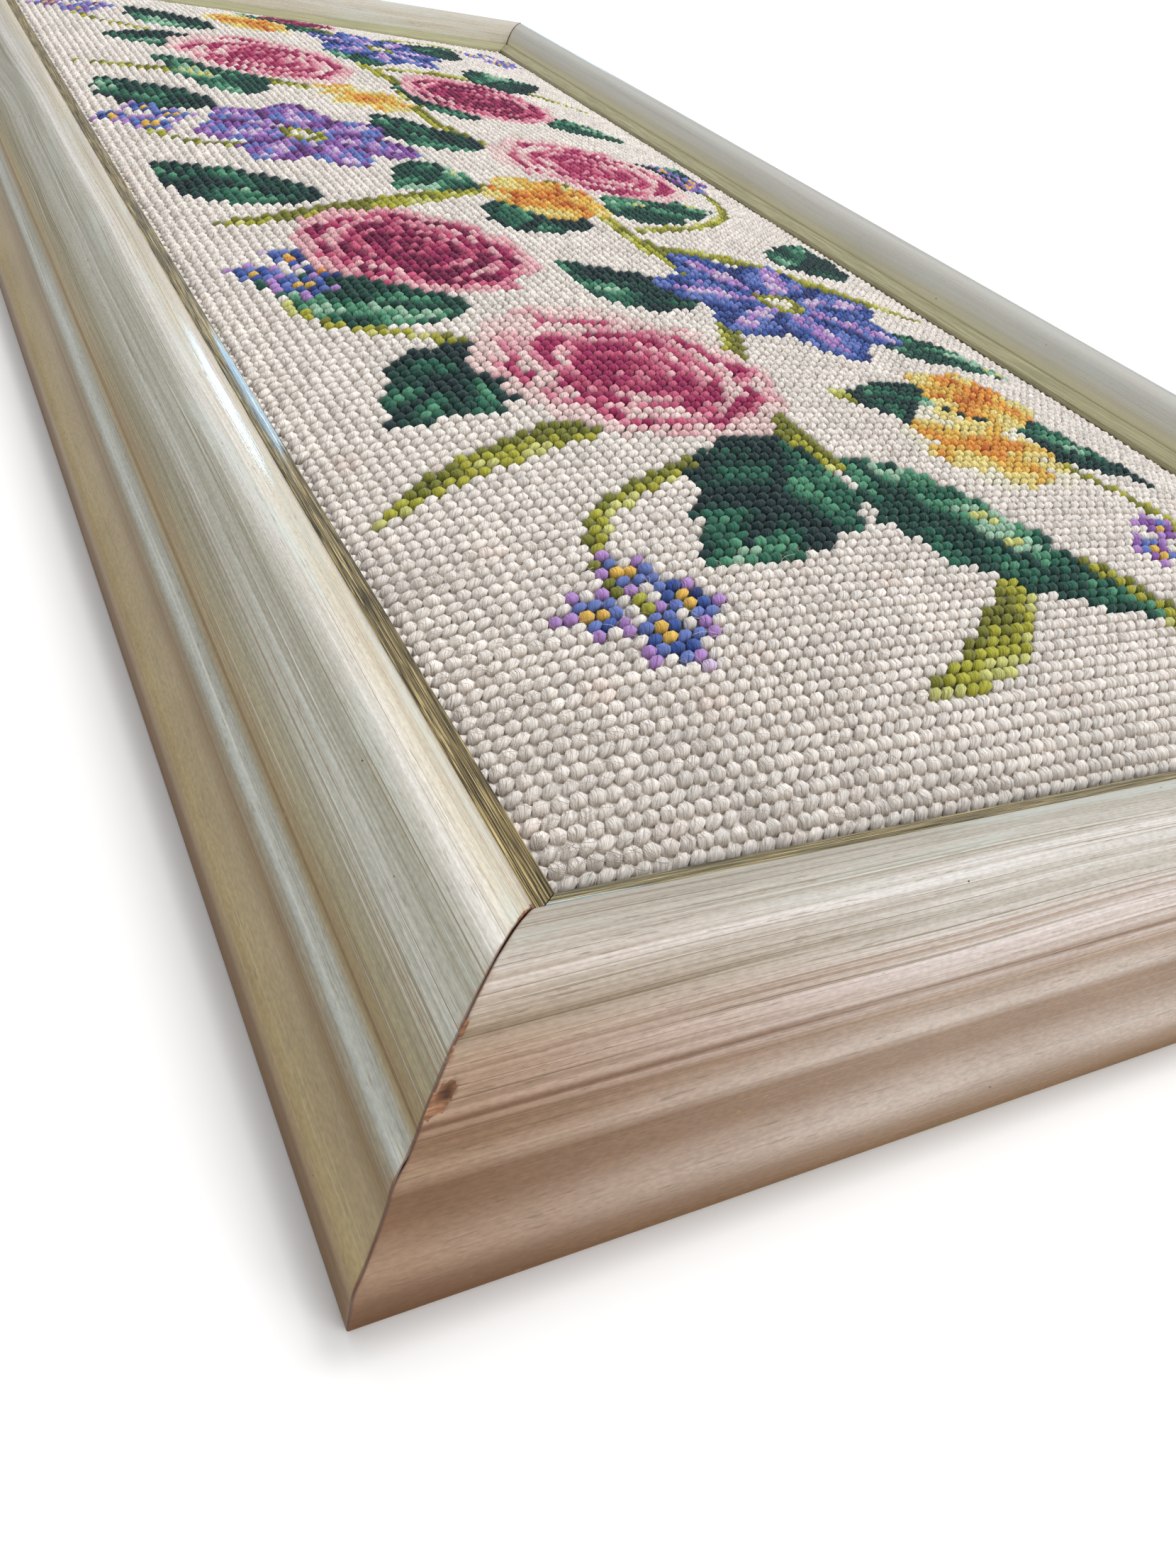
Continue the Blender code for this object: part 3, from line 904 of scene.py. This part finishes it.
def layPicture(chart):
    # Places are in mm from the picture's middle
    stems = (
        # four points of a cubic curve, first and last width
        (((34, -240), (46, -196), (-8, -186), (-2, -140)), 9, 6),
        (((-2, -140), (6, -96), (34, -84), (26, -40)), 7, 6),
        (((26, -40), (20, -6), (30, 24), (14, 60)), 7, 6),
        (((14, 60), (-6, 98), (20, 118), (8, 150)), 6, 6),
        (((8, 150), (0, 176), (14, 196), (6, 222)), 6, 5),
        (((-4, -150), (-46, -164), (-74, -176), (-66, -206)), 5, 3),
        (((-50, -104), (-84, -96), (-92, -84), (-80, -70)), 4, 3),
        (((24, -130), (60, -150), (84, -190), (62, -200)), 5, 3),
        (((30, -20), (70, -10), (92, 20), (84, 44)), 4, 3),
        (((-20, 60), (-60, 20), (-92, 36), (-88, 56)), 4, 3),
        (((-24, 150), (-70, 178), (-92, 190), (-84, 206)), 4, 3),
        (((20, 196), (50, 236), (74, 236), (86, 214)), 4, 3),
    )
    blades = (
        # four points of a cubic curve, width
        (((16, -196), (-2, -222), (-14, -228), (-30, -232)), 9),
        (((0, -132), (-40, -140), (-70, -150), (-98, -172)), 8),
        (((26, -36), (50, -30), (78, -64), (96, -70)), 8),
        (((20, 20), (-10, 10), (-60, -26), (-92, -30)), 8),
        (((6, 150), (40, 166), (70, 158), (96, 142)), 7),
        (((10, 96), (-30, 120), (-60, 108), (-96, 128)), 7),
    )
    leaves = (
        # base, tip, width, bend, family
        ((-8, -150), (-50, -196), 32, 6, "leaf"),
        ((4, -160), (34, -222), 28, -6, "brightLeaf"),
        ((-40, -112), (-84, -140), 30, -5, "leaf"),
        ((28, -128), (86, -172), 32, 7, "leaf"),
        ((60, -92), (96, -112), 20, 4, "brightLeaf"),
        ((-48, -86), (-90, -62), 28, 6, "brightLeaf"),
        ((18, -76), (-12, -52), 30, 4, "leaf"),
        ((70, -40), (97, -8), 26, -5, "leaf"),
        ((-58, -10), (-96, 22), 28, 6, "leaf"),
        ((-10, -28), (8, 18), 30, -6, "leaf"),
        ((30, -8), (74, 12), 28, 5, "brightLeaf"),
        ((-12, 30), (-34, 4), 24, 5, "brightLeaf"),
        ((58, 40), (95, 70), 28, -5, "leaf"),
        ((10, 50), (-14, 84), 30, 5, "leaf"),
        ((-66, 74), (-95, 108), 26, 5, "leaf"),
        ((-50, 92), (-72, 138), 28, -6, "brightLeaf"),
        ((26, 92), (8, 132), 28, -5, "leaf"),
        ((56, 104), (88, 96), 22, 4, "brightLeaf"),
        ((52, 150), (88, 176), 28, 5, "leaf"),
        ((-46, 150), (-84, 166), 26, -5, "leaf"),
        ((4, 160), (22, 182), 24, 4, "brightLeaf"),
        ((-40, 186), (-66, 216), 26, 5, "leaf"),
        ((36, 196), (66, 226), 24, -5, "leaf"),
        ((6, 206), (-20, 236), 24, 5, "brightLeaf"),
    )
    sprays = ((-66, -212), (62, -208), (-80, -70), (84, 44), (-88, 56), (-84, 206), (86, 214))
    flowers = (
        # kind, middle, radius, turn, family
        (layPrimrose, (46, -156), 21, 0.4, "primrose"),
        (layPrimrose, (66, -128), 17, 1.0, "orange"),
        (layRose, (-24, -118), 35, 0.3, "pinkRose"),
        (layStar, (46, -72), 36, 0.2, "blueStar"),
        (layRose, (-46, -46), 31, 1.1, "redRose"),
        (layPrimrose, (12, 4), 20, 0.7, "orange"),
        (layRose, (46, 44), 34, 0.6, "pinkRose"),
        (layStar, (-46, 50), 34, 0.5, "violetStar"),
        (layPrimrose, (-10, 104), 19, 0.2, "primrose"),
        (layRose, (40, 126), 30, 0.9, "redRose"),
        (layRose, (-32, 148), 33, 0.2, "pinkRose"),
        (layStar, (24, 190), 28, 0.9, "blueStar"),
        (layPrimrose, (-22, 208), 17, 0.5, "orange"),
        (layRose, (4, 234), 16, 0.5, "redRose"),
    )
    # Each shape has a seed of its own
    for seed, (points, width) in enumerate(blades, 70):
        layStem(chart, points, (width, width), seed, pointed=True)
    for seed, (points, *widths) in enumerate(stems, 40):
        layStem(chart, points, widths, seed)
    for seed, (base, tip, width, bend, family) in enumerate(leaves, 100):
        layLeaf(chart, base, tip, width, bend, seed, family)
    for number, centre in enumerate(sprays):
        laySpray(chart, centre, 7.5, number, ("blueStar", "violetStar")[number % 2])
    for number, (layFlower, centre, radius, turn, family) in enumerate(flowers):
        layFlower(chart, centre, radius, turn, 300 + 10 * number, family)
    chart["wool"] = chooseWools(chart)


# Tent stitches, one for each cell of the chart
stitch = {
    # flat stitches of one row and plump ones of the next, as a needle worked to and fro leaves them
    "halfLength": (1.57, 1.46),
    "halfWidth": (0.94, 1.22),
    "halfHeight": (0.80, 1.05),
    "slant": (38.0, 61.0),  # degrees from the row
    "dive": (0.20, 0.05),   # drop of the left end and rise of the right one, over and under the neighbours
    "sink": (0.10, 0.0),
    "arch": 0.45,           # how much both ends dive below the middle
    "valley": 0.41,         # depth between two rows
    "tuck": 14.3,           # top of what lies under the slip
    "rings": (-0.80, -0.33, 0.33, 0.80),
    "sides": 6,
    "seed": 7,
    # how much they differ: in place across and up, plumpness, size, slant, height and tone
    "spread": (0.09, 0.06, 0.12, 0.05, 3.5, 0.05, 0.05),
    "rowSpread": 0.07,
    "lumps": 0.045,
}


def stitchTemplate():
    # Rings of six round a bent oval, seam at its underside, and a pole at each end.
    # Gives each point's place along (-1 to 1) and angle, and the faces with their UV
    rings, sides = np.array(stitch["rings"]), stitch["sides"]
    angles = -math.pi / 2 + 2 * math.pi * np.arange(sides) / sides
    along = np.concatenate([np.repeat(rings, sides), [-1, 1]])
    angle = np.concatenate([np.tile(angles, len(rings)), [0, 0]])
    quads, ring, spoke = gridFaces(len(rings), sides, closed=True)
    quadUv = np.stack([(rings[ring] + 1) / 2, spoke / sides], -1)
    # The ends: a pole, halfway between its triangle's two corners in the UV too
    first = np.arange(sides)
    second = (first + 1) % sides
    last = (len(rings) - 1) * sides
    startPole = len(rings) * sides
    tris = np.concatenate([
        np.stack([np.full(sides, startPole), first, second], -1),
        np.stack([np.full(sides, startPole + 1), last + second, last + first], -1),
    ])
    turns = (first[:, None] + (0.5, 0, 1)) / sides
    share = np.broadcast_to([0, 0.09, 0.09], turns.shape)
    triUv = np.concatenate([np.stack([share, turns], -1), np.stack([1 - share, turns[:, [0, 2, 1]]], -1)])
    return along, angle, quads, quadUv, tris, triUv


def makeStitches(name, chart, mask, material):
    # A stitch is an ellipse carried along an arch: width and height fall as the root of one minus the
    # fourth power of the way from its middle, and the whole is set on the canvas's pillow
    row, column = np.nonzero(mask)
    random = np.random.default_rng(stitch["seed"])
    loose = random.normal(0, 1, (*chart["x"].shape, 7))[row, column] * stitch["spread"]
    aside, ahead, plumper, larger, steeper, higher, paler = loose.T
    rowShift = random.normal(0, stitch["rowSpread"], (2, len(chart["x"])))[:, row]
    x0 = chart["x"][row, column] + aside + rowShift[0]
    y0 = chart["y"][row, column] + ahead + rowShift[1]
    kind = np.where(row % 2, 1, -1) * (0.95 + 0.5 * waves(x0, y0, 60, 65))
    plump = np.clip(0.5 + 0.5 * kind + plumper, 0, 1)

    def between(key):
        flat, full = stitch[key]
        return flat + (full - flat) * plump

    slant = np.radians(between("slant") + steeper)
    along, angle, quads, quadUv, tris, triUv = stitchTemplate()
    fat = np.sqrt(1 - np.abs(along) ** 4 + 1e-9)
    lumps = 1 + stitch["lumps"] * random.normal(0, 1, (len(row), len(along)))
    side = (between("halfWidth") * (1 + larger))[:, None] * fat * np.cos(angle) * lumps
    up = between("halfHeight")[:, None] * (fat * np.sin(angle) * lumps - stitch["arch"] * along ** 2)
    up = up + between("dive")[:, None] * along
    out = (between("halfLength") * (1 + larger))[:, None] * along
    cos, sin = np.cos(slant)[:, None], np.sin(slant)[:, None]
    x = x0[:, None] + out * cos - side * sin
    y = y0[:, None] + out * sin + side * cos
    drop = between("halfHeight") * 0.98 + between("sink") + higher
    fromRow = np.abs(y - y0[:, None]) / (canvas["pitch"] / 2)
    z = canvasTop(x, y) - drop[:, None] + up - stitch["valley"] * np.clip(fromRow, 0, 1.2) ** 4
    under = (np.abs(x) > halfSightX - 0.2) | (np.abs(y) > halfSightY - 0.2)
    z = np.where(under, np.minimum(z, stitch["tuck"]), z)
    points = np.stack([x, y, z], -1).reshape(-1, 3)
    faces = repeatFaces((quads, tris), len(row), len(along))
    # Each stitch's UV lies two units from its neighbours', so that no two show the same fibres
    shift = np.stack([2.0 * column, 2.0 * row], -1)[:, None, None]
    cornerUv = np.concatenate([(uv + shift).reshape(-1, 2) for uv in (quadUv, triUv)])
    # Its wool's colour, a little lighter or darker, and a faint blush in places on the ground
    palette = np.array([hexColour(text) for colours in wools.values() for text in colours.values()])
    wool = chart["wool"][row, column]
    colour = palette[wool] * (1 + paler + 0.04 * waves(x0, y0, 26, 61))[:, None]
    blush = np.clip(waves(x0, y0, 15, 63) - 0.7, 0, 1) * (wool == woolNames.index("ground"))
    colour = colour * (1 - blush[:, None] * (0, 0.08, 0.10, 0))
    colour[:, 3] = 1
    fields = {
        "woolColour": np.repeat(colour, len(along), 0),
        # painted shade in the grooves between rows, strongest at a row's edges
        "valley": np.clip(fromRow * 1.7 - 1, 0, 1).ravel(),
    }
    return addPiece(name, points, faces, material, "wool_on_canvas", (), cornerUv, fields)


def makeWool():
    # Stranded tapestry wool, combed and loosely plied: matt, soft-edged, with fine fibres along each stitch.
    # The fibres are drawn near 0.2 mm, several times their size, so that they show
    add, finish = newMaterial("tapestry_wool")
    dye = add("Attribute", attribute_name="woolColour", output="Color")
    parts = add("SeparateXYZ", [add("UVMap", uv_map="surface")]).node.outputs
    twist = add("Math", [parts["X"], 0.2, parts["Y"]], operation="MULTIPLY_ADD")
    combed = add("CombineXYZ", [parts["X"], twist])
    finePlace = add("VectorMath", [combed, (2, 30, 1)], operation="MULTIPLY")
    fine = add("TexNoise", {"Vector": finePlace, "Scale": 1, "Detail": 2, "Roughness": 0.6})
    plyPlace = add("VectorMath", [combed, (1.2, 9, 1)], operation="MULTIPLY")
    ply = add("TexNoise", {"Vector": plyPlace, "Scale": 1, "Detail": 1})
    streak = add("MapRange", [fine, 0.34, 0.66, 0.86, 1.14])
    groove = add("MapRange", [ply, 0.38, 0.54, 0.84, 1.02])
    tone = add("Math", [streak, groove], operation="MULTIPLY")
    colour = add("VectorMath", {0: dye, "Scale": tone}, operation="SCALE")
    # Dust and painted shade between the stitches, on the lower half of each one's round
    turn = add("Math", [parts["Y"]], operation="FRACT")
    below = add("Math", [turn, 0.5], operation="SUBTRACT")
    below = add("Math", [below], operation="ABSOLUTE")
    dustAndShade = add("MapRange", [below, 0.20, 0.42])
    colour = layer(add, colour, "#a8937b", dustAndShade, blend="MULTIPLY")
    # The grooves between rows are darkened too, a painted shade
    valley = add("Attribute", attribute_name="valley", output="Fac")
    colour = layer(add, colour, "#baa994", valley, blend="MULTIPLY")
    height = add("Math", [ply, 1.6, fine], operation="MULTIPLY_ADD")
    bump = add("Bump", {"Strength": 1, "Distance": 0.0004, "Height": height})
    return finish({
        "Base Color": colour, "Roughness": 0.92, "Specular IOR Level": 0.25, "Sheen Weight": 0.12,
        "Sheen Roughness": 0.6, "Normal": bump,
    })


# Stray fibres that stand off the wool
fibres = {
    "count": 1500,          # before those over coloured stitches are left out
    "radius": 0.032,
    "points": 6,
    "sides": 3,
    "nearShare": 0.75,      # this share of them lies within nearReach of the lower left corner's edges
    "nearReach": 70,
    "length": (1.5, 5.5),
    "bow": (0.1, 0.7),      # how far it curls aside, and how high it stands
    "curls": (3, 8),        # radians from end to end
    "seed": 23,
}


def makeFibres(chart, material):
    # Each is a bow from stitch to stitch of the plain ground: a line curled aside by a sine, and lifted by
    # the sine of the way along
    random = np.random.default_rng(fibres["seed"])
    count, steps, sides = fibres["count"], fibres["points"], fibres["sides"]
    near = np.arange(count) < count * fibres["nearShare"]
    x0, y0 = [
        np.where(near, -half + fibres["nearReach"] * random.uniform(0, 1, count) ** 1.3 + 2,
                 random.uniform(4 - half, half - 4, count))
        for half in (halfSightX, halfSightY)
    ]
    plain = isGround(chart, x0, y0)
    x0, y0, count = x0[plain, None], y0[plain, None], int(plain.sum())

    def drawn(limits):
        return random.uniform(*limits, count)[:, None]

    way = np.linspace(0, 1, steps)
    heading = drawn((0, 2 * math.pi))
    length = drawn(fibres["length"])
    curl = drawn(fibres["bow"]) * np.sin(way * drawn(fibres["curls"]))
    lift = drawn(fibres["bow"]) * np.sin(math.pi * way)
    x = x0 + (way - 0.5) * length * np.cos(heading) - curl * np.sin(heading)
    y = y0 + (way - 0.5) * length * np.sin(heading) + curl * np.cos(heading)
    x = np.clip(x, 0.6 - halfSightX, halfSightX - 0.6)
    y = np.clip(y, 0.6 - halfSightY, halfSightY - 0.6)
    path = np.stack([x, y, canvasTop(x, y) + lift - 0.12], -1)
    tangent = np.gradient(path, axis=1)
    tangent /= np.linalg.norm(tangent, axis=-1, keepdims=True)
    aside = np.cross(tangent, (0, 0, 1))
    aside /= np.linalg.norm(aside, axis=-1, keepdims=True)
    above = np.cross(aside, tangent)
    angle = 2 * math.pi * np.arange(sides) / sides
    ring = aside[:, :, None] * np.cos(angle)[:, None] + above[:, :, None] * np.sin(angle)[:, None]
    thin = (fibres["radius"] * np.where((way == 0) | (way == 1), 0.3, 1))[None, :, None, None]
    points = (path[:, :, None] + ring * thin).reshape(-1, 3)
    quads = gridFaces(steps, sides, closed=True)[0]
    last = (steps - 1) * sides
    tris = np.array([[0, 1, 2], [last + 2, last + 1, last]])
    faces = repeatFaces((quads, tris), count, steps * sides)
    return addPiece("stray_fibres", points, faces, material, "wool_on_canvas")


def makeFibreWool():
    # Single wool hairs: pale, fine and a little glossy
    add, finish = newMaterial("wool_hair")
    place = add("TexCoord", output="Object")
    noise = add("TexNoise", {"Vector": place, "Scale": 90, "Detail": 1})
    hair = add("ValToRGB", [noise], ((0.35, "#a99d90"), (0.65, "#dcd4ca")))
    return finish({"Base Color": hair, "Roughness": 0.6})


# Back

def makeHardboard():
    # Pressed wood fibre board, its smooth face out: brown, faintly flecked, dull
    add, finish = newMaterial("pressed_hardboard")
    place = add("TexCoord", output="Object")
    fleck = add("TexNoise", {"Vector": place, "Scale": 700, "Detail": 4, "Roughness": 0.7})
    cloud = add("TexNoise", {"Vector": place, "Scale": 28, "Detail": 3})
    both = add("Math", [cloud, 0.5, fleck], operation="MULTIPLY_ADD")
    board = add("ValToRGB", [both], ((0.55, "#5b3c25"), (0.75, "#7a5536"), (0.95, "#96714e")))
    bump = add("Bump", {"Strength": 0.3, "Distance": 0.0001, "Height": fleck})
    return finish({"Base Color": board, "Roughness": 0.72, "Normal": bump})


# Studio: a pale floor, a large soft light high at the right, a bright wall and a low cool window beyond the
# picture's top, a warmer fill from its foot and a small soft lamp near its lower right corner
studio = {
    "floor": "#f6f5f3",
    "floorReach": 12,       # m from the middle to each edge
    "sky": (0.95, 0.97, 1.0),
    "skyStrength": (0.2, 0.72),     # at the horizon and high up
}
lights = {
    # place in m, width and height in m, watts, colour, whether it shows in reflections
    "ceiling": ((2.4, 1.6, 4.4), (3.0, 3.0), 160, (1.0, 1.0, 1.0), False),
    "wall": ((0.6, 6.8, 4.2), (6.0, 3.4), 115, (0.97, 0.99, 1.0), False),
    "window": ((3.38, 6.78, 0.5), (0.7, 0.6), 16, (0.42, 0.72, 1.0), True),
    "fill": ((2.2, -5.6, 2.4), (4.0, 4.0), 165, (1.0, 0.98, 0.96), True),
    "lamp": ((0.36, -0.74, 0.34), (0.45, 0.45), 0.75, (1.0, 0.985, 0.97), True),
}


def addLight(name, place, size, watts, colour, mirrored):
    data = bpy.data.lights.new(name, "AREA")
    data.shape = "RECTANGLE"
    data.size, data.size_y = size
    data.energy = watts
    data.color = colour
    light = bpy.data.objects.new(name, data)
    bpy.context.collection.objects.link(light)
    light.location = place
    light.rotation_euler = (-Vector(place)).to_track_quat("-Z", "Y").to_euler()
    light.visible_camera = False
    light.visible_glossy = mirrored


def addStudio():
    far = studio["floorReach"]
    mesh = bpy.data.meshes.new("floor")
    mesh.from_pydata([(-far, -far, 0), (far, -far, 0), (far, far, 0), (-far, far, 0)], [], [(0, 1, 2, 3)])
    floor = bpy.data.objects.new("floor", mesh)
    bpy.context.collection.objects.link(floor)
    add, finish = newMaterial("matt_studio_paper")
    mesh.materials.append(finish({"Base Color": studio["floor"], "Roughness": 0.9}))
    world = bpy.data.worlds.new("studio")
    bpy.context.scene.world = world
    world.use_nodes = True
    tree = world.node_tree
    way = addNode(tree, "TexCoord", output="Generated")
    height = addNode(tree, "SeparateXYZ", [way], output="Z")
    strength = addNode(tree, "MapRange", [height, 0.05, 0.65, *studio["skyStrength"]])
    setInputs(tree, tree.nodes["Background"], {"Color": (*studio["sky"], 1), "Strength": strength})
    for name, settings in lights.items():
        addLight(name, *settings)
    bpy.context.scene.view_settings.view_transform = "Standard"


def buildNeedlework():
    chart = newChart()
    layPicture(chart)
    canvasPiece, flat = makeCanvas(chart, makeCanvasCloth())
    wool = makeWool()
    for family, colours in wools.items():
        mask = np.isin(chart["wool"], [woolNames.index(name) for name in colours])
        # the ground in three bands, each under 200,000 triangles
        bands = 3 if family == "ground" else 1     # the ground in three bands of equal stitch count, to keep each piece smaller
        cuts = np.linspace(0, mask.sum(), bands + 1)
        order = np.cumsum(mask).reshape(mask.shape)
        for band in range(bands):
            part = mask & (order > cuts[band]) & (order <= cuts[band + 1])
            name = f"stitches_{family}" + (f"_{band + 1}" if bands > 1 else "")
            makeStitches(name, chart, part, wool)
    makeFibres(chart, makeFibreWool())


print("camera and studio")
addCamera()
addStudio()
print("moulding")
paint = makePaint()
for side in moulding["rails"]:
    makeRail(side, paint)
print("gilt slip")
gilt = makeGilt()
for side in giltSlip["sides"]:
    makeSlip(side, gilt)
print("needlework")
buildNeedlework()
print("back")
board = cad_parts["backing_board"]
board.data.materials.clear()
board.data.materials.append(makeHardboard())
